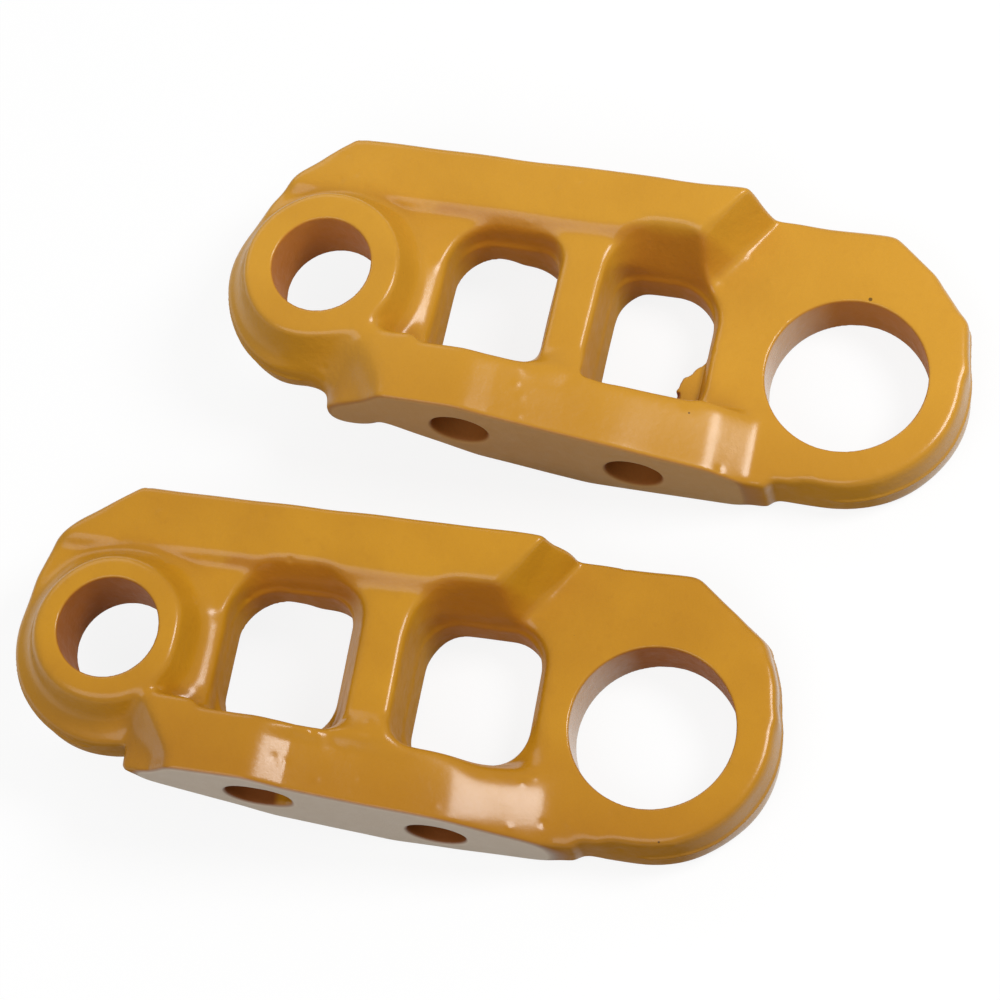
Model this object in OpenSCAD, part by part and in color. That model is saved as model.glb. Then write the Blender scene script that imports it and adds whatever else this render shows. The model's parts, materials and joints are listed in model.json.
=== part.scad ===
// Two forged track links of one hand, lying inner side down beside each other.
// Link frame: X runs from the pin bore to the bush bore, Y rises to the rail tread,
// Z rises from the inner face to the outer face. Both bores run along Z.

/* [Chain] */
// Pitch, from the pin bore to the bush bore
pitch = 190; // [185:1:200]
// Width of a link from its inner face to the pin boss face
link_w = 57; // [55:0.5:62]
// Side gap between the overlapping ends of neighbouring links
side_gap = 1.5; // [1:0.1:3]

/* [Bores] */
// Diameter of the pin bore
pin_bore_d = 36.5; // [32:0.5:40]
// Diameter of the bush bore
bush_bore_d = 58.5; // [54:0.5:62]
// Depth of the recess for the bush, behind the pin bore
recess_depth = 5; // [3:0.5:8]
// Radial room around the bush in that recess
recess_room = 1.5; // [1:0.1:2.5]

/* [Ends] */
// Outside radius of the pin end
pin_end_r = 38.5; // [37:0.5:42]
// Outside radius of the bush end
bush_end_r = 44; // [42:0.5:48]
// Thickness of the bush end
bush_end_w = 22.5; // [20:0.5:25]
// Radius of the room under the pin end for the next link
step_r = 67.5; // [66:0.5:70]
// Angle in side view between the ramp at the bush end and the bore line
ramp_angle = 55; // [48:1:62]
// Run of that ramp over the height of the rail side
ramp_run = 8; // [5:0.5:11]

/* [Pin boss] */
// Radius of the machined boss face on the near link
near_boss_r = 26.5; // [25:0.5:28]
// Radius of the machined boss face on the far link
far_boss_r = 28.5; // [27:0.5:29.5]
// Height of the boss flank
boss_rise = 11; // [8:0.5:13]
// Spread of the boss flank down to its shoulder
boss_spread = 4.5; // [3:0.5:6]

/* [Rail] */
// Height of the rail tread above the bore line
tread_h = 57.5; // [55:0.5:60]
// Height of the rail side's lower edge above the bore line
fold_h = 36; // [34:0.5:38]
// Height of the rail side above the inner face
rail_w = 46; // [44:0.5:48]
// Depth of the web below the rail side
web_drop = 4; // [2:0.5:6]
// Run of the slope between the rail side and the web
fold_run = 4; // [2:0.5:6]
// Chamfer along the rail tread
tread_chamfer = 1; // [0.5:0.5:3]

/* [Shoe flange] */
// Depth of the shoe face below the bore line
shoe_h = 47.5; // [46:0.5:50]
// Thickness of the flange from the shoe face to the nut seats
flange_t = 24; // [22:0.5:26]
// Flange from the shoe bolts to its outer face
flange_out = 22; // [19:0.5:23]
// Distance from the pin bore to the start of the shoe face
flange_start = 9; // [7:0.5:12]
// Length of the low start of the flange
flange_lead = 18; // [14:0.5:22]
// Height of the facet between the low start and the flange's outer face
facet_drop = 7; // [4:0.5:9]
// Run of that facet
facet_run = 6; // [3:0.5:8]
// Angle in side view between the facet and the bore line
facet_angle = 56; // [50:1:62]
// Distance from the bush bore to the end of the shoe face
flange_end = 20; // [16:0.5:26]
// Length of the slope from the near link's flange down to its bush end
near_flange_ramp = 32; // [26:0.5:36]
// Length of the slope from the far link's flange down to its bush end
far_flange_ramp = 14; // [10:0.5:20]
// Diameter of the shoe bolt holes
bolt_d = 20.5; // [18:0.5:22]
// Distance from the pin bore to the first shoe bolt
first_bolt = 59; // [57:0.5:61]
// Distance between the shoe bolts along the link
bolt_spacing = 62; // [60:0.5:64]
// Sideways offset between the shoe bolts
bolt_offset = 18; // [16:0.5:19]
// Height of the first shoe bolt above the inner face
first_bolt_w = 35; // [34:0.5:36]

/* [Windows] */
// Length of the windows in the near link
near_window = 45.5; // [42:0.5:47]
// Length of the windows in the far link
far_window = 40; // [38:0.5:43]
// Top of the near link's windows above the bore line
near_window_top = 27.5; // [25:0.5:29]
// Top of the far link's windows above the bore line
far_window_top = 26.5; // [24:0.5:28]
// Corner radius at the top of the windows
window_r = 12; // [9:0.5:14]
// Radius of the arched scoop above a window
scoop_r = 15; // [12:0.5:17]
// Height of the first window's narrowest level above the inner face
waist_1 = 24; // [20:0.5:27]
// Height of the second window's narrowest level above the inner face
waist_2 = 11; // [8:0.5:14]
// Thickness of the web that is punched out at that level
land = 5; // [3:0.5:8]
// Rise of a window's scoop on the inner side
inner_scoop = 8; // [5:0.5:10]

/* [Layout] */
// Distance of the far link's pin bore to the right of the near link's
far_x = 47; // [30:1:70]
// Distance of the far link's pin bore behind the near link's
far_y = 146; // [140:1:170]
// Turn of the far link
far_turn = -2; // [-4:0.5:0]

/* [Hidden] */
$fn = 96;

over = 1;
paint = "goldenrod";

seat_y = flange_t - shoe_h;
pin_end_in = bush_end_w + side_gap;
recess_r = bush_bore_d / 2 + recess_room;
web_out = rail_w - web_drop;
// Step in from the pin end's outline to the shoulder of the boss
shoulder_step = 2.5;
shoulder_r = pin_end_r - shoulder_step;
second_bolt = first_bolt + bolt_spacing;
second_bolt_w = first_bolt_w - bolt_offset;
// The flange runs this far up into the web, past the nut seats
flange_lap = 3;

// Foot of the ramp at the bush end, measured from the bush bore: a point on its slanted
// facet, and where it turns down beside the second window
ramp_foot = [-43, 45.5];
ramp_turn = -54;
// Upper edge of the facet at the flange's start, measured from the pin bore
facet_edge = [22, -26];
// How much narrower than its window a scoop is
scoop_inset = 1;
// Inner edge of the flange: where it starts, bends and meets the inner face
flange_tip_w = 42;
flange_bend = [first_bolt + 3, 12];
flange_flat = second_bolt - 19;
// Straight run of each flange's outer face past the second bolt
near_flange_run = 7;
far_flange_run = 28;

// Outline of each rail end, measured from the nearer bore, from the end to the tread
near_nose = [[-36.5, 20], [-32, 35], [-24, 42.5], [-3, tread_h]];
far_nose = [[-36.5, 12], [-30, 29], [-22, 41], [-2, tread_h]];
near_toe = [[7, tread_h], [35, 37], [40.5, 22]];
far_toe = [[8, tread_h], [26, 43.5], [39.5, 27.5]];

// Middles of the windows, measured from the shoe bolts below them
near_shift = [0.7, 3.8];
far_shift = [2, -2];
// Upper edges of the scoops above them, at the rail side
near_scoop = [37, 37.5];
far_scoop = [32, 40];

// Reach of the far link, and the middle of the whole layout
far_reach = far_x + pitch * cos(far_turn) + bush_end_r;
far_corner = far_nose[len(far_nose) - 1];
far_tread = far_y + far_corner.y * cos(far_turn) + far_corner.x * sin(far_turn);
middle = [(far_reach - pin_end_r) / 2, (far_tread - shoe_h) / 2, 0];

// Outline of the rail, the web and both ends in side view
module side_outline(nose, toe) {
    heel = pitch - flange_end - over;
    circle(pin_end_r);
    translate([pitch, 0]) circle(bush_end_r);
    polygon(concat(
        [[0, seat_y], [-pin_end_r, 0]], nose,
        [for (point = toe) [pitch + point.x, point.y]],
        [[pitch + bush_end_r, 0], [pitch, -bush_end_r], [heel, -bush_end_r], [heel, seat_y]]
    ));
}

// Section across the rail and web, drawn as height against width
module rail_section() {
    polygon([
        [-bush_end_r - over, 0], [tread_h - tread_chamfer, 0], [tread_h, tread_chamfer],
        [tread_h, rail_w - tread_chamfer], [tread_h - tread_chamfer, rail_w],
        [fold_h, rail_w], [fold_h - fold_run, web_out], [-bush_end_r - over, web_out]
    ]);
}

// Everything beyond a slanted plane: the plane stands on the Y axis and leans by run over rise
module beyond(run, rise) {
    reach = 2 * pitch;
    rotate([90, 0, 0]) linear_extrude(reach, center = true) polygon([
        [0, 0], [-run * link_w / rise, link_w], [reach, link_w], [reach, 0]
    ]);
}

// Room for the pin end of the next link, above the bush end and beyond the ramp
module bush_end_room() {
    rail_rise = rail_w - bush_end_w;
    translate([pitch, 0, bush_end_w]) intersection() {
        translate(ramp_foot) rotate([0, 0, ramp_angle - 90]) beyond(ramp_run, rail_rise);
        translate([ramp_turn, 0, 0]) beyond(ramp_run, rail_rise);
    }
}

// Rail and web, cut back inside at the pin end and outside at the bush end
module rail_and_web(nose, toe) {
    difference() {
        intersection() {
            linear_extrude(link_w) side_outline(nose, toe);
            translate([-2 * pin_end_r, 0, 0]) rotate([90, 0, 90])
                linear_extrude(pitch + 4 * bush_end_r) rail_section();
        }
        translate([0, 0, -over]) cylinder(r = step_r, h = pin_end_in + over, $fn = 180);
        bush_end_room();
    }
}

// Part of the flange over its whole depth, drawn in plan
module flange_block(plan) {
    translate([0, seat_y + flange_lap, 0]) rotate([90, 0, 0])
        linear_extrude(flange_t + flange_lap) polygon(plan);
}

// Shoe flange: it slants inwards to follow the two shoe bolts. It starts low beside the pin
// end, and a facet leads up to its outer face
module shoe_flange(run, ramp) {
    outer_w = first_bolt_w + flange_out;
    facet_w = outer_w - facet_drop;
    flange_block([
        [flange_start, flange_tip_w], [flange_start + flange_lead, facet_w],
        [first_bolt, facet_w], flange_bend
    ]);
    intersection() {
        flange_block([
            [flange_start, flange_tip_w], [flange_start, outer_w], [first_bolt, outer_w],
            [second_bolt + run, outer_w - bolt_offset * (bolt_spacing + run) / bolt_spacing],
            [second_bolt + run + ramp, bush_end_w], [pitch - flange_end, bush_end_w],
            [pitch - flange_end, 0], [flange_flat, 0], flange_bend
        ]);
        translate([facet_edge.x, facet_edge.y, outer_w]) rotate([0, 0, 90 - facet_angle])
            mirror([0, 0, 1]) beyond(facet_run, facet_drop);
    }
}

// Pin boss with its drafted flank and shoulder
module pin_boss(boss_r) {
    rotate_extrude() polygon([
        [0, pin_end_in], [shoulder_r, pin_end_in], [shoulder_r, web_out],
        [boss_r + boss_spread, link_w - boss_rise], [boss_r, link_w], [0, link_w]
    ]);
}

// Arched scoop that leans from the top of a window towards the rail, by run over rise
module scoop(mid, len, run, rise) {
    rotate([-atan2(run, rise), 0, 0]) {
        for (side = [-1, 1]) translate([mid + side * (len / 2 - scoop_r), -scoop_r, 0])
            cylinder(r = scoop_r, h = 2 * link_w);
        translate([mid - len / 2 + scoop_r, -2 * scoop_r, 0])
            cube([len - 2 * scoop_r, 2 * scoop_r, 2 * link_w]);
    }
}

// Window punched through the link at its waist, with a scoop on each side of the land
module window(mid, len, top, waist, scoop_top) {
    translate([mid - len / 2, seat_y, -over])
        cube([len, top - window_r - seat_y, link_w + 2 * over]);
    translate([mid - len / 2 + window_r, seat_y, -over])
        cube([len - 2 * window_r, top - seat_y, link_w + 2 * over]);
    for (side = [-1, 1])
        translate([mid + side * (len / 2 - window_r), top - window_r, -over])
            cylinder(r = window_r, h = link_w + 2 * over);
    translate([0, top, waist + land / 2])
        scoop(mid, len - scoop_inset, scoop_top - top, rail_w - waist - land / 2);
    translate([0, top, waist - land / 2]) mirror([0, 0, 1])
        scoop(mid, len - scoop_inset, inner_scoop, waist - land / 2);
}

module link(boss_r, nose, toe, flange_run, flange_ramp, window_len, window_top, shift, scoops) {
    difference() {
        union() {
            rail_and_web(nose, toe);
            shoe_flange(flange_run, flange_ramp);
            pin_boss(boss_r);
        }
        translate([0, 0, pin_end_in - over]) cylinder(d = pin_bore_d, h = link_w);
        translate([0, 0, pin_end_in - over]) cylinder(r = recess_r, h = recess_depth + over);
        translate([pitch, 0, -over]) cylinder(d = bush_bore_d, h = link_w);
        window(first_bolt + shift[0], window_len, window_top, waist_1, scoops[0]);
        window(second_bolt + shift[1], window_len, window_top, waist_2, scoops[1]);
        for (bolt = [[first_bolt, first_bolt_w], [second_bolt, second_bolt_w]])
            translate([bolt.x, seat_y + over, bolt.y]) rotate([90, 0, 0])
                cylinder(d = bolt_d, h = flange_t + 2 * over);
    }
}

module near_link() {
    color(paint) translate(-middle)
        link(near_boss_r, near_nose, near_toe, near_flange_run, near_flange_ramp,
            near_window, near_window_top, near_shift, near_scoop);
}

module far_link() {
    color(paint) translate([far_x, far_y, 0] - middle) rotate([0, 0, far_turn])
        link(far_boss_r, far_nose, far_toe, far_flange_run, far_flange_ramp,
            far_window, far_window_top, far_shift, far_scoop);
}

near_link();
far_link();
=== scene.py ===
"""Two loose forged track links in thick glossy paint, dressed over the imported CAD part.

Each link starts as its CAD solid. The solid is filled in where a cutter works later, its edges are
softened as a forging die leaves them, and then the windows, the bores, the bolt holes and the shoe
face are cut into it again. The result is meshed, marked with where it was cut, and painted.
"""

import json
import math

import bpy
import numpy as np
import openvdb
from mathutils import Matrix, Vector


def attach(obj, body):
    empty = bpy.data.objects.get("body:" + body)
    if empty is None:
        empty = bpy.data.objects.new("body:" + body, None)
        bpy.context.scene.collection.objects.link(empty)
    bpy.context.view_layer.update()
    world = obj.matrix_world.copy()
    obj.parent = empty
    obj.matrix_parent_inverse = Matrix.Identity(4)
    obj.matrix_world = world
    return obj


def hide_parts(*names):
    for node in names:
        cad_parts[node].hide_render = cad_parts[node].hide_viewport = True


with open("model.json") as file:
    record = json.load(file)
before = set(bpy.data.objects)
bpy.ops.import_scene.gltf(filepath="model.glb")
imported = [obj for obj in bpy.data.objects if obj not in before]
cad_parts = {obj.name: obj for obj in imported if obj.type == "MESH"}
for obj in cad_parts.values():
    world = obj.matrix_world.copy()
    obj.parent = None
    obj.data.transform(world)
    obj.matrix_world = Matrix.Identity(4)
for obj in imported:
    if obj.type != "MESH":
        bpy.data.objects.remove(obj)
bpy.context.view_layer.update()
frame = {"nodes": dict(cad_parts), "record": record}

# Lengths in a link's own frame are millimetres: X from the pin bore to the bush bore, Y from the
# shoe face up to the rail tread, Z from the inner face out to the boss face
MM = 0.001
MOUNTS = {mount["name"]: mount for mount in frame["record"]["mounts"]}

# Grid that a link is shaped on, how far distances are kept from its surface, and the mesh's limit
VOXEL = 0.65
GRID_LOW = (-46, -56, -6)
GRID_HIGH = (242, 65, 66)
BAND = 15
NARROW = 3 * VOXEL
TRIANGLES = 192000

# Sizes that both links share
LINK_W = 57
PIN_END_IN = 24
RECESS_R, RECESS_DEPTH = 30.75, 5
BUSH_END_W = 22.5
SHOE_Y, SEAT_Y = -47.5, -23.5
FLANGE_X, SHOE_END_X = 18, 160
BOLT_X, BOLT_Z = (59, 121), (35, 17)
BOSS_SPREAD, BOSS_RISE = 4.5, 11

# Material that stands while a link is shaped: radius of the bars in the bores and bolt holes, how
# far fillings reach into the solid, and the stock under the shoe face and over the boss
PIN_PLUG_R, BUSH_PLUG_R, BOLT_PLUG_R = 22, 31, 11
LAP, RECESS_LAP = 2, 3
SHOE_STOCK = 6
BOSS_STOCK = (-4, 8)

# Windows: level of the web that is punched out, its thickness, the lip left over the hole, the
# radius of the die at the feet, the level and slope up to which the feet are filled, and the height
# and thickness of the wall at the right
WAISTS = (24, 11)
LAND = 12
LIP = 1.8
FOOT_R = 9
FOOT_TOP, FOOT_SLOPE = 46.5, 0.45
RIMS, RIM_T = (42, 22.5), 5
# Height below the nut seats at which the flange's outline is taken to fill the feet
FLANGE_CUT = 1.5
# Corner between the flange, the pin boss and the first window: its left end, height and level
CORNER_X, CORNER_RISE, CORNER_TOP, CORNER_SLOPE = 14, 14, 53, 0.25
# Rounded slope between the boss and the first window: its radius, and its axis from the window's
# left end and from the inner face
CREST_R, CREST_BACK, CREST_Z = 25, 15.4, 19.3
# How far that slope is lifted off the link where it fades out
CREST_FADE = 12
# Soft start of the shoe face: its length past the flange's start, its upper edge and its width
TOE_LAP, TOE_Y, TOE_Z = 8, -37, 40
# Level at which the halves of the die meet on the pin end and the bush end, half the width and the
# height of the ridge there, and the draft of the bush end's wall above it
PIN_PARTING_Z, PARTING_Z = 36, 11
RIDGE_HALF, RIDGE_H = 0.3, 0.45
DRAFT = 0.17
# Part of the side view that holds both windows and the hollows over them: left, right, foot, top
HOLLOWS = (30, 152, -24, 40)
HOLLOW_R = 12

# Softness of the die's edges: crisp along the tread, easing out before the toe, broad where the
# flange runs out
CRISP, SOFT, BROAD = 1.0, 1.8, 4.5
# Height of each of the long waves in the skin, how many there are, and their shortest and longest
WAVE_H, WAVES, WAVE_SPAN = 0.07, 7, (16, 42)
# Number of pits and lumps on a link, their widths and their heights
PITS, PIT_WIDTHS, PIT_HEIGHTS = 90, (0.7, 1.1), (-0.3, -0.2, 0.15, 0.25)
# Rounding that each cutter leaves: punch, boring bar, drill and shoe face mill
PUNCH_EDGE, BORE_EDGE, DRILL_EDGE, MILL_EDGE = 0.8, 1.0, 0.8, 1.8
# Distance over which the skin is averaged to tell hollows from ridges, for the painted shade in
# hollows
RELIEF_REACH = 4

# Ranges over which those forms ease in or out. The slope's left and right are measured from the
# first window, and the starts of the draft and of the toe from the bush bore
CREST_FOOT, CREST_HEAD = (-20, -13), (12, 22)
CREST_LEFT, CREST_RIGHT = (-10, -6.5), (5, 13)
DRAFT_START, DRAFT_RING, DRAFT_TOP = (-26, -8), (30, 33), (4, 26)
TREAD_Y, TOE_START = (44, 53), (-30, -15)
# Places that are rounded more than the rest, and how much of the broad rounding each one gets: the
# fold under the rail, the foot of the strut between the windows, and the edge of the slope
FOLD_START, FOLD_FOOT, FOLD_HEAD, FOLD_SHARE = (40, 52), (27, 33), (40, 46), 0.35
STRUT_RING, STRUT_SHARE = (6, 12), 0.8
EDGE_RING, EDGE_FOOT, EDGE_HEAD, EDGE_SHARE = (4, 9), (-22, -14), (14, 24), 0.1
# Dip along the flange: where it starts and ends along the link, below the bores and across
DIP_START, DIP_END, DIP_DROP, DIP_IN = (58, 72), (78, 134), (22, 31), (16, 24)

# Sizes in which the two forging dies differ. Windows are given by their left and right ends, and
# their corners go round from the top left. Flares and the sill are slopes, the snag is the run and
# rise of a torn corner, and broad is the middle and reach of the widest rounding
LINKS = {
    "near": {
        "boss_r": 26.5, "boss_edge": 3.0,
        "windows": ((36.6, 79.8), (102.4, 147)), "window_top": 29.4,
        "corners": ((16, 11, 15, 15), (14, 14, 15, 14)), "flares": (0.55, 0.5), "sill": 0.06,
        "snag": None, "shoe_start": 18, "dip": 3.0, "broad": (150, -30, 34), "seed": 3,
    },
    "far": {
        "boss_r": 28.5, "boss_edge": 2.0,
        "windows": ((41.4, 80.4), (99.4, 138.6)), "window_top": 28.2,
        "corners": ((15, 9, 14, 3), (10, 18, 4, 3)), "flares": (0.25, 0.4), "sill": 0.05,
        "snag": (17, 25), "shoe_start": 8, "dip": 0.7, "broad": (14, -36, 30), "seed": 8,
    },
}


# Shapes as distance fields, negative inside

def grid_axes():
    """Lowest grid index and the X, Y and Z of the grid points, ready to broadcast."""
    low = [math.floor(v / VOXEL) for v in GRID_LOW]
    high = [math.ceil(v / VOXEL) for v in GRID_HIGH]
    x, y, z = (np.arange(a, b + 1, dtype=np.float32) * np.float32(VOXEL) for a, b in zip(low, high))
    return tuple(low), x[:, None, None], y[None, :, None], z[None, None, :]


LOW_INDEX, X, Y, Z = grid_axes()


def smooth(value, low, high):
    """Share that eases from 0 at low to 1 at high."""
    share = np.clip((value - low) / (high - low), 0, 1)
    return share * share * (3 - 2 * share)


def box_field(x, y, z):
    """Block between the given limits along each axis."""
    spans = [
        np.abs(axis - (a + b) / 2) - (b - a) / 2 for axis, (a, b) in zip((X, Y, Z), (x, y, z))
    ]
    return np.maximum(np.maximum(spans[0], spans[1]), spans[2])


def drum_field(u, v, radius, along=None, span=None):
    """Round bar of that radius around u = v = 0, between two limits if they are given."""
    bar = np.hypot(u, v) - radius
    if span is None:
        return bar
    return np.maximum(bar, np.abs(along - sum(span) / 2) - (span[1] - span[0]) / 2)


def panel_field(x, y, corners):
    """Rectangle in side view with its own radius at each corner, round from the top left."""
    mid_x, mid_y = sum(x) / 2, sum(y) / 2
    top_left, top_right, foot_right, foot_left = corners
    right = X > mid_x
    radius = np.where(
        Y > mid_y, np.where(right, top_right, top_left), np.where(right, foot_right, foot_left)
    )
    u = np.abs(X - mid_x) - (x[1] - x[0]) / 2 + radius
    v = np.abs(Y - mid_y) - (y[1] - y[0]) / 2 + radius
    return np.hypot(np.maximum(u, 0), np.maximum(v, 0)) + np.minimum(np.maximum(u, v), 0) - radius


def blurred(field, reach):
    """Field averaged over a bell-shaped reach in millimetres."""
    steps = int(3 * reach / VOXEL) + 1
    weights = np.exp(-0.5 * (np.arange(-steps, steps + 1) * VOXEL / reach) ** 2)
    weights = (weights / weights.sum()).astype(np.float32)
    for axis in range(3):
        margin = [(steps, steps) if a == axis else (0, 0) for a in range(3)]
        padded = np.pad(field, margin, mode="edge")
        count = field.shape[axis]
        field = np.zeros_like(field)
        for i, weight in enumerate(weights):
            field += weight * padded[(slice(None),) * axis + (slice(i, i + count),)]
    return field


def cut(field, tool, edge):
    """Field with the tool taken away, leaving that rounding on the new edge."""
    gap = np.maximum(edge - np.abs(field + tool), 0)
    return np.maximum(field, -tool) + gap * gap / (4 * edge)


def joined(field, added, edge):
    """Field with a form added, with that fillet around it."""
    gap = np.maximum(edge - np.abs(field - added), 0)
    return np.minimum(field, added) - gap * gap / (4 * edge)


# From a CAD node to a forged link

def link_places(link):
    """Turn and place of a link's own frame in the row frame, from its two bores."""
    pin = np.array(MOUNTS[link + "_pin_bore"]["pos_m"])
    bush = np.array(MOUNTS[link + "_bush_bore"]["pos_m"])
    turn = math.atan2(bush[1] - pin[1], bush[0] - pin[0])
    pitch = math.hypot(bush[0] - pin[0], bush[1] - pin[1]) / MM
    place = Matrix.Translation((pin[0], pin[1], 0)) @ Matrix.Rotation(turn, 4, "Z")
    return place @ Matrix.Scale(MM, 4), pitch


def solid_field(node, place):
    """Distance field of a CAD node in the link's own frame."""
    mesh = node.data
    points = np.empty(len(mesh.vertices) * 3, np.float32)
    mesh.vertices.foreach_get("co", points)
    back = np.array(place.inverted(), np.float32)
    points = points.reshape(-1, 3) @ back[:3, :3].T + back[:3, 3]
    mesh.calc_loop_triangles()
    corners = np.empty(len(mesh.loop_triangles) * 3, np.int32)
    mesh.loop_triangles.foreach_get("vertices", corners)
    grid = openvdb.FloatGrid.createLevelSetFromPolygons(
        np.ascontiguousarray(points, np.float32),
        triangles=corners.reshape(-1, 3).astype(np.uint32),
        transform=openvdb.createLinearTransform(voxelSize=VOXEL),
        halfWidth=BAND / VOXEL,
    )
    field = np.empty((X.size, Y.size, Z.size), np.float32)
    grid.copyToArray(field, ijk=LOW_INDEX)
    return field


def window_rises(link):
    """Limits along Y of the two windows of a link. The foot of the second one climbs a little."""
    shape = LINKS[link]
    left, right = shape["windows"][1]
    foot = SEAT_Y + shape["sill"] * (np.clip(X, left, right) - left)
    return (SEAT_Y, shape["window_top"]), (foot, shape["window_top"])


def basin_field(span, rise, waist, corners, flare):
    """Hollow that the die leaves over a window's land, wider towards the right as it rises."""
    floor = waist + LAND / 2
    wide = (span[0], span[1] + flare * np.maximum(Z - floor, 0))
    panel = panel_field(wide, (rise[0], rise[1] + LIP), corners[:2] + (FOOT_R, FOOT_R))
    return np.maximum(panel, floor - Z)


def crest_field(left):
    """Space over the rounded slope that leads from the pin boss down into the first window."""
    space = np.hypot(X - left + CREST_BACK, Z - CREST_Z) - CREST_R
    reach = smooth(Y, *CREST_FOOT) * (1 - smooth(Y, *CREST_HEAD))
    reach = reach * smooth(X - left, *CREST_LEFT) * (1 - smooth(X - left, *CREST_RIGHT))
    return np.where(reach > 0.02, CREST_FADE * (1 - reach) - space, BAND)


def carried_up(field, low, high):
    """The outline at one height above the shoe face, carried on from there to another height."""
    row = int(round(low / VOXEL)) - LOW_INDEX[1]
    return np.where((Y > low) & (Y < high), field[:, row:row + 1, :], BAND)


def filled(link, field, pitch):
    """The link before any cutting: bores and bolt holes full, windows closed by their land."""
    shape = LINKS[link]
    top = shape["window_top"]
    boss_r = shape["boss_r"] + (LINK_W - Z) * BOSS_SPREAD / BOSS_RISE
    added = [
        drum_field(X, Y, boss_r, Z, (LINK_W + BOSS_STOCK[0], LINK_W + BOSS_STOCK[1])),
        drum_field(X, Y, PIN_PLUG_R, Z, (PIN_END_IN, LINK_W)),
        drum_field(X, Y, RECESS_R + LAP, Z, (PIN_END_IN, PIN_END_IN + RECESS_DEPTH + RECESS_LAP)),
        drum_field(X - pitch, Y, BUSH_PLUG_R, Z, (0, BUSH_END_W)),
    ]
    for bolt_x, bolt_z in zip(BOLT_X, BOLT_Z):
        added.append(drum_field(X - bolt_x, Z - bolt_z, BOLT_PLUG_R, Y, (SHOE_Y, SEAT_Y)))
    for (left, right), waist, rim in zip(shape["windows"], WAISTS, RIMS):
        land = (waist - LAND / 2, waist + LAND / 2)
        added.append(box_field((left - LAP, right + LAP), (SEAT_Y - LAP, top + LAP), land))
        added.append(box_field((right, right + RIM_T), (SEAT_Y - LAP, top - LAP), (land[0], rim)))
    for form in added:
        field = np.minimum(field, form)
    feet = carried_up(field, SEAT_Y - FLANGE_CUT, SEAT_Y + FOOT_R)
    feet = np.maximum(feet, Z - FOOT_TOP + FOOT_SLOPE * (Y - SEAT_Y))
    first, last = shape["windows"][0][0], shape["windows"][1][1]
    feet = np.maximum(feet, np.abs(X - (first + last) / 2) - (last - first) / 2)
    corner = carried_up(field, SEAT_Y - FLANGE_CUT, SEAT_Y + CORNER_RISE)
    corner = np.maximum(corner, Z - CORNER_TOP + CORNER_SLOPE * (Y - SEAT_Y))
    corner = np.maximum(corner, np.abs(X - (CORNER_X + first) / 2) - (first - CORNER_X) / 2)
    share = np.clip((first - X) / (first - CORNER_X), 0, 1)
    corner = np.maximum(corner, Y - SEAT_Y - CORNER_RISE * share * share)
    field = np.minimum(field, np.minimum(feet, corner))
    start = shape["shoe_start"]
    if start < FLANGE_X:
        toe_rise = (SHOE_Y - SHOE_STOCK, TOE_Y)
        toe = box_field((start, FLANGE_X + TOE_LAP), toe_rise, (PIN_END_IN, TOE_Z))
        field = np.minimum(field, toe)
    field = np.maximum(field, -crest_field(first))
    for span, rise, waist, corners, flare in zip(
            shape["windows"], window_rises(link), WAISTS, shape["corners"], shape["flares"]):
        field = np.maximum(field, -basin_field(span, rise, waist, corners, flare))
    # Draft of the wall round the lower half of the bush end
    row = int(round(PARTING_Z / VOXEL)) - LOW_INDEX[2]
    wall = field[:, :, row:row + 1] + DRAFT * np.maximum(Z - PARTING_Z, 0)
    at_bush = smooth(X - pitch, *DRAFT_START) * smooth(np.hypot(X - pitch, Y), *DRAFT_RING)
    at_bush = at_bush * (1 - smooth(Y, *DRAFT_TOP))
    field = np.where(at_bush > 0, np.maximum(field, wall - BAND * (1 - at_bush)), field)
    # Machining stock on the shoe face
    row = int(round((SHOE_Y + SHOE_STOCK) / VOXEL)) - LOW_INDEX[1]
    stock = np.where(np.abs(Y - SHOE_Y) < SHOE_STOCK, field[:, row:row + 1, :], BAND)
    away = np.abs(X - (start + SHOE_END_X) / 2) - (SHOE_END_X - start) / 2
    return np.minimum(field, np.maximum(stock, away))


def forged(link, field, pitch):
    """The link as it leaves the die, with every edge soft and a slightly wavy skin."""
    shape = LINKS[link]
    crisp = smooth(Y, *TREAD_Y) * (1 - smooth(X - pitch, *TOE_START))
    mid_x, mid_y, reach = shape["broad"]
    broad = 1 - smooth(np.hypot(X - mid_x, Y - mid_y), 0.4 * reach, reach)
    fold = smooth(X, *FOLD_START) * smooth(Y, *FOLD_FOOT) * (1 - smooth(Y, *FOLD_HEAD))
    (crest_x, strut_left), (strut_right, _) = shape["windows"]
    strut_x = (strut_left + strut_right) / 2
    strut = 1 - smooth(np.hypot(X - strut_x, Y - SEAT_Y), *STRUT_RING)
    edge = 1 - smooth(np.abs(X - crest_x + 1), *EDGE_RING)
    edge = edge * smooth(Y, *EDGE_FOOT) * (1 - smooth(Y, *EDGE_HEAD))
    for share, place in ((FOLD_SHARE, fold), (STRUT_SHARE, strut), (EDGE_SHARE, edge)):
        broad = np.maximum(broad, share * place)
    soft = blurred(field, SOFT)
    soft += crisp * (blurred(field, CRISP) - soft)
    soft += broad * (blurred(field, BROAD) - soft)
    sunk = np.clip((X - DIP_START[0]) / (DIP_START[1] - DIP_START[0]), 0, 1) - smooth(X, *DIP_END)
    soft += shape["dip"] * sunk * smooth(-Y, *DIP_DROP) * smooth(Z, *DIP_IN)
    draws = np.random.default_rng(shape["seed"])
    for wave in draws.uniform(*WAVE_SPAN, WAVES):
        lean = draws.normal(size=3)
        lean *= 2 * math.pi / wave / np.linalg.norm(lean)
        phase = lean[0] * X + lean[1] * Y + lean[2] * Z + draws.uniform(0, 6)
        soft += WAVE_H * np.cos(phase)
    return soft


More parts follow.
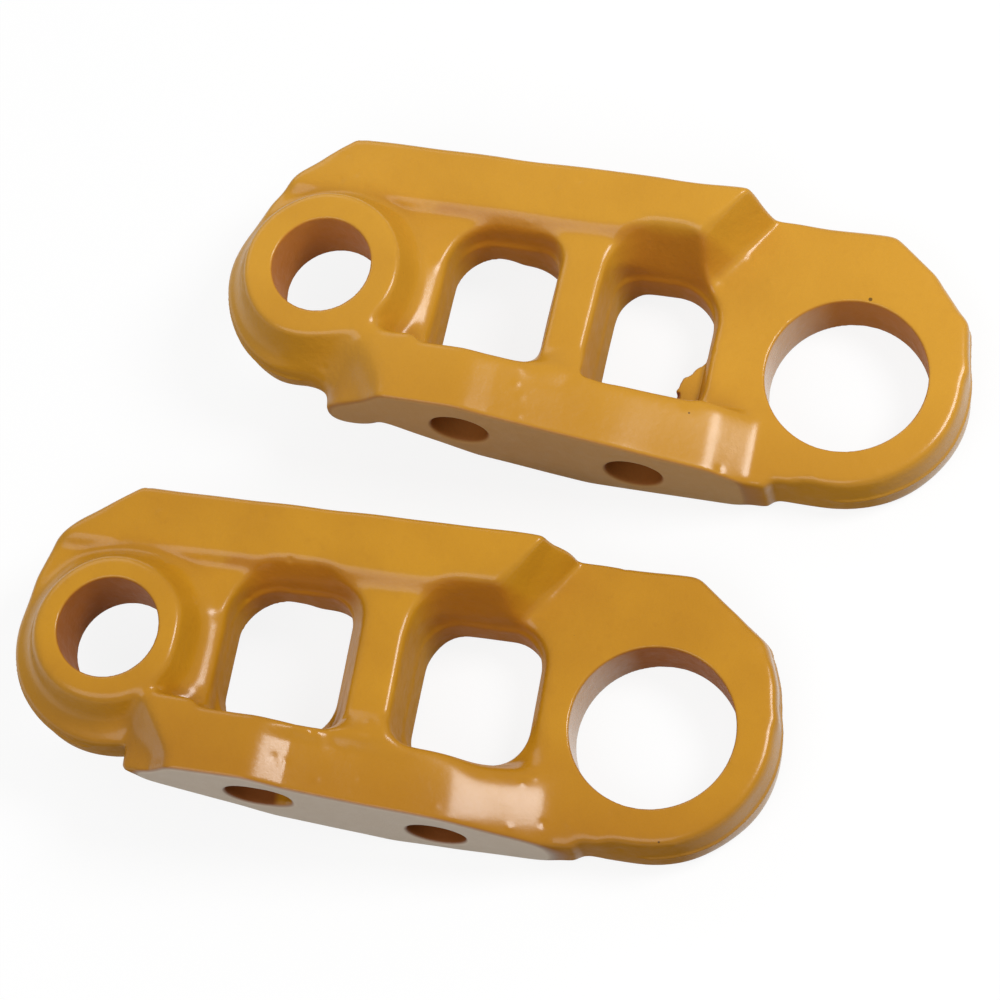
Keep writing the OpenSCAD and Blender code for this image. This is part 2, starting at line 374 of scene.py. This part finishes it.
def parting_ridge(field, pitch):
    """Thin ridge round both ends, where the halves of the die met."""
    level = np.interp(X, (0, *BOLT_X, pitch), (PIN_PARTING_Z, *WAISTS, PARTING_Z))
    ridge = np.maximum(np.abs(Z - level) - RIDGE_HALF, field - RIDGE_H)
    at_ends = smooth(X, pitch - 8, pitch + 6) + 1 - smooth(X, -6, 8)
    return joined(field, ridge + 4 * (1 - at_ends), 1.5)


def pitted(field, seed):
    """Field with small lumps and pits scattered over the outer side."""
    draws = np.random.default_rng(seed)
    room = int(4 / VOXEL)
    for _ in range(PITS):
        i, j = (int(draws.integers(room, n - room)) for n in field.shape[:2])
        width, height = draws.uniform(*PIT_WIDTHS), draws.choice(PIT_HEIGHTS)
        inside = np.flatnonzero(field[i, j] < 0)
        if len(inside) == 0:
            continue
        k = int(inside[-1])
        block = tuple(slice(n - room, n + room + 1) for n in (i, j, k))
        steps = np.arange(-room, room + 1, dtype=np.float32) * VOXEL
        bell = np.exp(-0.5 * (steps / width) ** 2)
        spot = bell[:, None, None] * bell[None, :, None] * bell[None, None, :]
        part = field[block]
        part -= height * spot[:part.shape[0], :part.shape[1], :part.shape[2]]
    return field


def punched(link, field):
    """The forging with its two windows punched, one of them with a torn corner left standing."""
    shape = LINKS[link]
    panels = [
        panel_field(*sides) for sides in zip(shape["windows"], window_rises(link), shape["corners"])
    ]
    if shape["snag"]:
        run, rise = shape["snag"]
        u, v = (shape["windows"][1][1] - X) / run, (Y - SEAT_Y) / rise
        tear = 0.5 * np.sin(6 * (u - v)) + 0.4 * np.sin(14 * (u - v) + 1)
        snag = np.maximum((u + v - 1) * run * 0.8 + tear, np.abs(Z - WAISTS[1]) - LAND / 2)
        panels[1] = np.maximum(panels[1], -snag)
    for panel in panels:
        field = cut(field, panel, PUNCH_EDGE)
    return field


def bored(link, field, pitch):
    """The forging with its bores, the recess behind the pin bore and its bolt holes."""
    pin_r = MOUNTS[link + "_pin_bore"]["dims"]["r_mm"]
    bush_r = MOUNTS[link + "_bush_bore"]["dims"]["r_mm"]
    bolt_r = MOUNTS[link + "_shoe_bolt_1"]["dims"]["r_mm"]
    recess = drum_field(X, Y, RECESS_R, Z, (0, PIN_END_IN + RECESS_DEPTH))
    for tool in (drum_field(X, Y, pin_r), recess, drum_field(X - pitch, Y, bush_r)):
        field = cut(field, tool, BORE_EDGE)
    for bolt_x, bolt_z in zip(BOLT_X, BOLT_Z):
        hole = drum_field(X - bolt_x, Z - bolt_z, bolt_r, Y, (SHOE_Y - 20, SEAT_Y + 10))
        field = cut(field, hole, DRILL_EDGE)
    return field


def sampled(field, points):
    """Values of a field at points in the link's own frame."""
    spot = points / VOXEL - np.array(LOW_INDEX)
    base = np.clip(np.floor(spot).astype(int), 0, np.array(field.shape) - 2)
    part = spot - base
    value = 0
    for corner in np.ndindex(2, 2, 2):
        share = np.prod(np.where(corner, part, 1 - part), axis=1)
        value = value + share * field[tuple((base + corner).T)]
    return value


def thinned(mesh, triangles):
    """Mesh brought down to about that many triangles."""
    carrier = bpy.data.objects.new("carrier", mesh)
    bpy.context.scene.collection.objects.link(carrier)
    reduce = carrier.modifiers.new("reduce", "DECIMATE")
    reduce.ratio = min(1.0, triangles / len(mesh.polygons))
    view = bpy.context.evaluated_depsgraph_get()
    result = bpy.data.meshes.new_from_object(carrier.evaluated_get(view))
    bpy.data.objects.remove(carrier)
    return result


def skin(name, field, marks, place):
    """Mesh of a field in the row frame, smooth, with the marks sampled as point attributes."""
    grid = openvdb.FloatGrid(NARROW)
    grid.transform = openvdb.createLinearTransform(voxelSize=VOXEL)
    grid.copyFromArray(np.clip(field, -NARROW, NARROW), ijk=LOW_INDEX)
    points, triangles, quads = grid.convertToPolygons(isovalue=0.0, adaptivity=0.0)
    faces = np.concatenate([quads[:, [0, 1, 2]], quads[:, [0, 2, 3]], triangles])
    mesh = bpy.data.meshes.new("shaped")
    mesh.from_pydata(points, [], faces)
    mesh = thinned(mesh, TRIANGLES)
    mesh.name = name
    spots = np.empty(len(mesh.vertices) * 3, np.float32)
    mesh.vertices.foreach_get("co", spots)
    spots = spots.reshape(-1, 3)
    normals = np.stack([sampled(slope, spots) for slope in np.gradient(field, VOXEL)], axis=1)
    normals /= np.linalg.norm(normals, axis=1, keepdims=True)
    values = {mark: sampled(source, spots) for mark, source in marks.items()}
    values["drop"] = -spots[:, 1]
    values["shoeward"], values["upright"] = -normals[:, 1], normals[:, 2]
    values["bushward"] = normals[:, 0] * smooth(spots[:, 0], 120, 145)
    for mark, value in values.items():
        data = mesh.attributes.new(mark, "FLOAT", "POINT").data
        data.foreach_set("value", value.astype(np.float32))
    mesh.transform(place)
    turned = normals @ np.array(place.to_3x3().normalized(), float).T
    mesh.normals_split_custom_set_from_vertices(turned)
    piece = bpy.data.objects.new(name, mesh)
    bpy.context.scene.collection.objects.link(piece)
    return piece


def link_piece(link):
    """One finished link, with marks for its bored and milled faces and for its hollows."""
    place, pitch = link_places(link)
    shape = LINKS[link]
    field = solid_field(frame["nodes"][link + "_link"], place)
    field = forged(link, filled(link, field, pitch), pitch)
    field = pitted(parting_ridge(field, pitch), shape["seed"])
    field = cut(field, LINK_W - Z, shape["boss_edge"])
    blank = punched(link, field)
    drilled = bored(link, blank, pitch)
    field = cut(drilled, Y - SHOE_Y, MILL_EDGE)
    inside = -panel_field(HOLLOWS[:2], HOLLOWS[2:], (HOLLOW_R,) * 4)
    marks = {
        "bored": -blank, "milled": -drilled, "relief": blurred(field, RELIEF_REACH),
        "hollow": np.broadcast_to(inside, field.shape),
    }
    return skin(link + "_link_forging", field, marks, place)


# Paint: tints that both links share: painted shade on the window walls that face the shoe face,
# painted shade down in the bolt holes, and dark specks for pits that the paint missed
WINDOW_SHADE_TINT = (0.40, 0.115, 0.012, 1)
HOLE_SHADE_TINT = (0.09, 0.022, 0.008, 1)
SPECK_TINT = (0.045, 0.02, 0.008, 1)
COAT, COAT_ROUGHNESS, SHEEN = 0.65, 0.2, 0.08
BUMP_STRENGTH, BUMP_H = 0.4, 0.001


def add_node(tree, kind, inputs=None, **settings):
    """Node of a kind, with its settings made and its inputs set or linked."""
    node = tree.nodes.new(kind)
    for name, value in settings.items():
        setattr(node, name, value)
    for name, value in (inputs or {}).items():
        if isinstance(value, bpy.types.NodeSocket):
            tree.links.new(value, node.inputs[name])
        else:
            node.inputs[name].default_value = value
    return node


def noise(tree, where, scale, detail=3.0, roughness=0.55):
    """Cloudy pattern with about that many waves to the metre."""
    return add_node(tree, "ShaderNodeTexNoise", {
        "Vector": where, "Scale": scale, "Detail": detail, "Roughness": roughness,
    }).outputs["Fac"]


def ramp(tree, value, low, high, to_low=0.0, to_high=1.0):
    """Value taken from one range to another, held at its ends."""
    return add_node(tree, "ShaderNodeMapRange", {
        "Value": value, "From Min": low, "From Max": high, "To Min": to_low, "To Max": to_high,
    }).outputs["Result"]


def tinted(tree, share, base, tint):
    """Base colour with a share of a tint mixed in."""
    colours = {0: share, 6: base, 7: tint}
    return add_node(tree, "ShaderNodeMix", colours, data_type="RGBA").outputs[2]


def maths(tree, operation, a, b):
    """Result of one sum on two values."""
    return add_node(tree, "ShaderNodeMath", {0: a, 1: b}, operation=operation).outputs[0]


def enamel_group():
    """Thick enamel over a forged skin, thin in the bores, dull on the milled face, with painted
    shade.
    """
    tree = bpy.data.node_groups.new("forged_enamel", "ShaderNodeTree")
    for name in ("Ochre", "Deep", "Bore", "Milled"):
        tree.interface.new_socket(name, in_out="INPUT", socket_type="NodeSocketColor")
    tree.interface.new_socket("Colour", in_out="OUTPUT", socket_type="NodeSocketColor")
    for name in ("Roughness", "Coat", "Height"):
        tree.interface.new_socket(name, in_out="OUTPUT", socket_type="NodeSocketFloat")
    paint = add_node(tree, "NodeGroupInput").outputs
    where = add_node(tree, "ShaderNodeTexCoord").outputs["Object"]
    mark = {
        name: add_node(tree, "ShaderNodeAttribute", attribute_name=name).outputs["Fac"]
        for name in (
            "bored", "milled", "relief", "hollow", "drop", "upright", "shoeward", "bushward"
        )
    }
    bore = ramp(tree, mark["bored"], 0.1, 0.7)
    milled = ramp(tree, mark["milled"], 0.2, 1.2)
    bare = maths(tree, "MAXIMUM", bore, milled)
    steep = ramp(tree, mark["upright"], 0.72, 0.3)
    dull = maths(tree, "MAXIMUM", bare, steep)
    dull = maths(tree, "MULTIPLY", dull, ramp(tree, mark["bushward"], 0.85, 0.3))
    dull = maths(tree, "MAXIMUM", dull, milled)
    # Painted shade: share of a dark tint on walls that face the shoe face, in the part round the
    # windows
    shaded = ramp(tree, mark["shoeward"], 0.3, 0.85)
    shaded = maths(tree, "MULTIPLY", shaded, ramp(tree, mark["hollow"], 0, 3))

    cloud = noise(tree, where, 20)
    mottle = noise(tree, where, 260, detail=4)
    grain = noise(tree, where, 620, detail=3, roughness=0.6)
    colour = tinted(tree, ramp(tree, cloud, 0.4, 0.7, 0, 0.35), paint["Ochre"], paint["Deep"])
    colour = tinted(tree, ramp(tree, mottle, 0.55, 0.8, 0, 0.15), colour, paint["Deep"])
    # Painted shade: darker towards the shoe face, where less light falls
    colour = tinted(tree, ramp(tree, mark["drop"], 5, 42, 0, 0.6), colour, paint["Deep"])
    # Painted shade: darker in the hollows and creases of the skin
    colour = tinted(tree, ramp(tree, mark["relief"], -0.3, -1.6, 0, 0.4), colour, paint["Deep"])
    # Painted shade on the window walls that face the shoe face
    colour = tinted(tree, maths(tree, "MULTIPLY", shaded, 0.6), colour, WINDOW_SHADE_TINT)
    # Thin paint over rust in the bores, laid on less on the bush bore walls that face the right
    # lamp: partly the bores' own colour, partly painted light and shade
    bore_tint_and_shade = maths(tree, "MULTIPLY", bore, ramp(tree, mark["bushward"], 0.3, 0.95, 0.85, 0.2))
    colour = tinted(tree, bore_tint_and_shade, colour, paint["Bore"])
    # Painted shade: a near-black tint down in the bolt holes, more than about 6 mm below the nut
    # seats
    hole = maths(tree, "MULTIPLY", bore, ramp(tree, mark["drop"], 29.5, 32, 0, 0.55))
    colour = tinted(tree, hole, colour, HOLE_SHADE_TINT)
    colour = tinted(tree, maths(tree, "MULTIPLY", milled, 0.8), colour, paint["Milled"])

    # Fine dark specks
    cells = add_node(tree, "ShaderNodeTexVoronoi", {"Vector": where, "Scale": 75})
    chosen = add_node(tree, "ShaderNodeSeparateColor", {"Color": cells.outputs["Color"]}).outputs[0]
    size = ramp(tree, chosen, 0.6, 1.0, 0, 0.055)
    speck = maths(tree, "LESS_THAN", cells.outputs["Distance"], size)
    colour = tinted(tree, maths(tree, "MULTIPLY", speck, 0.75), colour, SPECK_TINT)

    gloss = ramp(tree, mottle, 0.3, 0.7, 0.24, 0.36)
    gloss = maths(tree, "ADD", gloss, maths(tree, "MULTIPLY", dull, 0.25))
    coat = ramp(tree, dull, 0.1, 0.9, COAT, 0.0)
    peel = noise(tree, where, 95, detail=2)
    peel = maths(tree, "ADD", peel, maths(tree, "MULTIPLY", mottle, 0.5))
    height = maths(tree, "ADD", peel, maths(tree, "MULTIPLY", grain, 0.3))
    height = maths(tree, "SUBTRACT", height, maths(tree, "MULTIPLY", speck, 0.5))
    add_node(tree, "NodeGroupOutput", {
        "Colour": colour, "Roughness": gloss, "Coat": coat, "Height": height,
    })
    return tree


def link_paint(name, group, tints):
    """Enamel of one link, in its own tints."""
    material = bpy.data.materials.new(name)
    material.use_nodes = True
    tree = material.node_tree
    shader = tree.nodes["Principled BSDF"]
    enamel = add_node(tree, "ShaderNodeGroup", node_tree=group)
    for socket, tint in tints.items():
        enamel.inputs[socket].default_value = tint
    tree.links.new(enamel.outputs["Colour"], shader.inputs["Base Color"])
    tree.links.new(enamel.outputs["Roughness"], shader.inputs["Roughness"])
    tree.links.new(enamel.outputs["Coat"], shader.inputs["Coat Weight"])
    shader.inputs["Coat Roughness"].default_value = COAT_ROUGHNESS
    shader.inputs["Specular IOR Level"].default_value = SHEEN
    bump = add_node(tree, "ShaderNodeBump", {
        "Height": enamel.outputs["Height"], "Strength": BUMP_STRENGTH, "Distance": BUMP_H,
    })
    tree.links.new(bump.outputs["Normal"], shader.inputs["Normal"])
    return material


ENAMEL = enamel_group()
PAINTS = {
    "near": link_paint("near_enamel", ENAMEL, {
        "Ochre": (0.57, 0.265, 0.014, 1), "Deep": (0.37, 0.142, 0.006, 1),
        "Bore": (0.36, 0.104, 0.021, 1), "Milled": (0.88, 0.76, 0.61, 1),
    }),
    "far": link_paint("far_enamel", ENAMEL, {
        "Ochre": (0.64, 0.312, 0.026, 1), "Deep": (0.48, 0.208, 0.013, 1),
        "Bore": (0.52, 0.18, 0.036, 1), "Milled": (0.62, 0.38, 0.15, 1),
    }),
}

for link in LINKS:
    piece = link_piece(link)
    piece.data.materials.append(PAINTS[link])
    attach(piece, link)
    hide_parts(link + "_link")


# Floor, light and camera, in metres

FLOOR_SIZE, FLOOR_DROP = 40, 0.0002
LAMP_DISTANCE = 1.3


def area_lamp(name, direction, size, radiance, shape="RECTANGLE"):
    """Soft lamp that faces the part from a direction, at that brightness."""
    data = bpy.data.lights.new(name, "AREA")
    data.shape = shape
    data.size, data.size_y = size
    area = size[0] * size[1] * (math.pi / 4 if shape == "ELLIPSE" else 1)
    data.energy = radiance * math.pi * area
    lamp = bpy.data.objects.new(name, data)
    towards = Vector(direction).normalized()
    lamp.location = towards * LAMP_DISTANCE
    lamp.rotation_euler = (-towards).to_track_quat("-Z", "Y").to_euler()
    bpy.context.scene.collection.objects.link(lamp)


def white_floor(albedo):
    """Large floor that shows white, with a soft shadow, and throws little light back."""
    bpy.ops.mesh.primitive_plane_add(size=FLOOR_SIZE, location=(0, 0, -FLOOR_DROP))
    floor = bpy.context.object
    floor.name = "floor"
    material = bpy.data.materials.new("white_floor")
    material.use_nodes = True
    tree = material.node_tree
    shader = tree.nodes["Principled BSDF"]
    shader.inputs["Base Color"].default_value = (albedo, albedo, albedo, 1)
    shader.inputs["Roughness"].default_value = 1.0
    shader.inputs["Specular IOR Level"].default_value = 0.0
    shader.inputs["Emission Color"].default_value = (1, 1, 1, 1)
    path = add_node(tree, "ShaderNodeLightPath").outputs
    seen = maths(tree, "MAXIMUM", path["Is Camera Ray"], path["Is Glossy Ray"])
    seen = maths(tree, "MAXIMUM", seen, path["Is Transmission Ray"])
    tree.links.new(maths(tree, "MULTIPLY", seen, 1 - albedo), shader.inputs["Emission Strength"])
    floor.data.materials.append(material)


def pale_world(level):
    """Soft even light on everything."""
    world = bpy.data.worlds.new("pale_room")
    bpy.context.scene.world = world
    world.use_nodes = True
    background = world.node_tree.nodes["Background"]
    background.inputs["Color"].default_value = (1, 1, 1, 1)
    background.inputs["Strength"].default_value = level


def photo_camera():
    """Camera at the viewing angle of the photograph."""
    data = bpy.data.cameras.new("camera")
    data.sensor_width = 36
    data.lens = 119.03
    camera = bpy.data.objects.new("camera", data)
    camera.location = (0.2549, -0.4014, 1.1089)
    camera.rotation_euler = [math.radians(angle) for angle in (21.813, 9.186, 10.761)]
    bpy.context.scene.collection.objects.link(camera)
    bpy.context.scene.camera = camera


white_floor(0.14)
pale_world(0.38)
area_lamp("right_softbox", (0.6, 0.25, 0.76), size=(0.48, 0.52), radiance=14.5, shape="ELLIPSE")
area_lamp("front_softbox", (-0.2, -0.58, 0.79), size=(1.2, 0.7), radiance=2)
area_lamp("back_softbox", (-0.55, 0.65, 0.52), size=(1.0, 0.6), radiance=1.3)
photo_camera()
bpy.context.scene.view_settings.view_transform = "Standard"
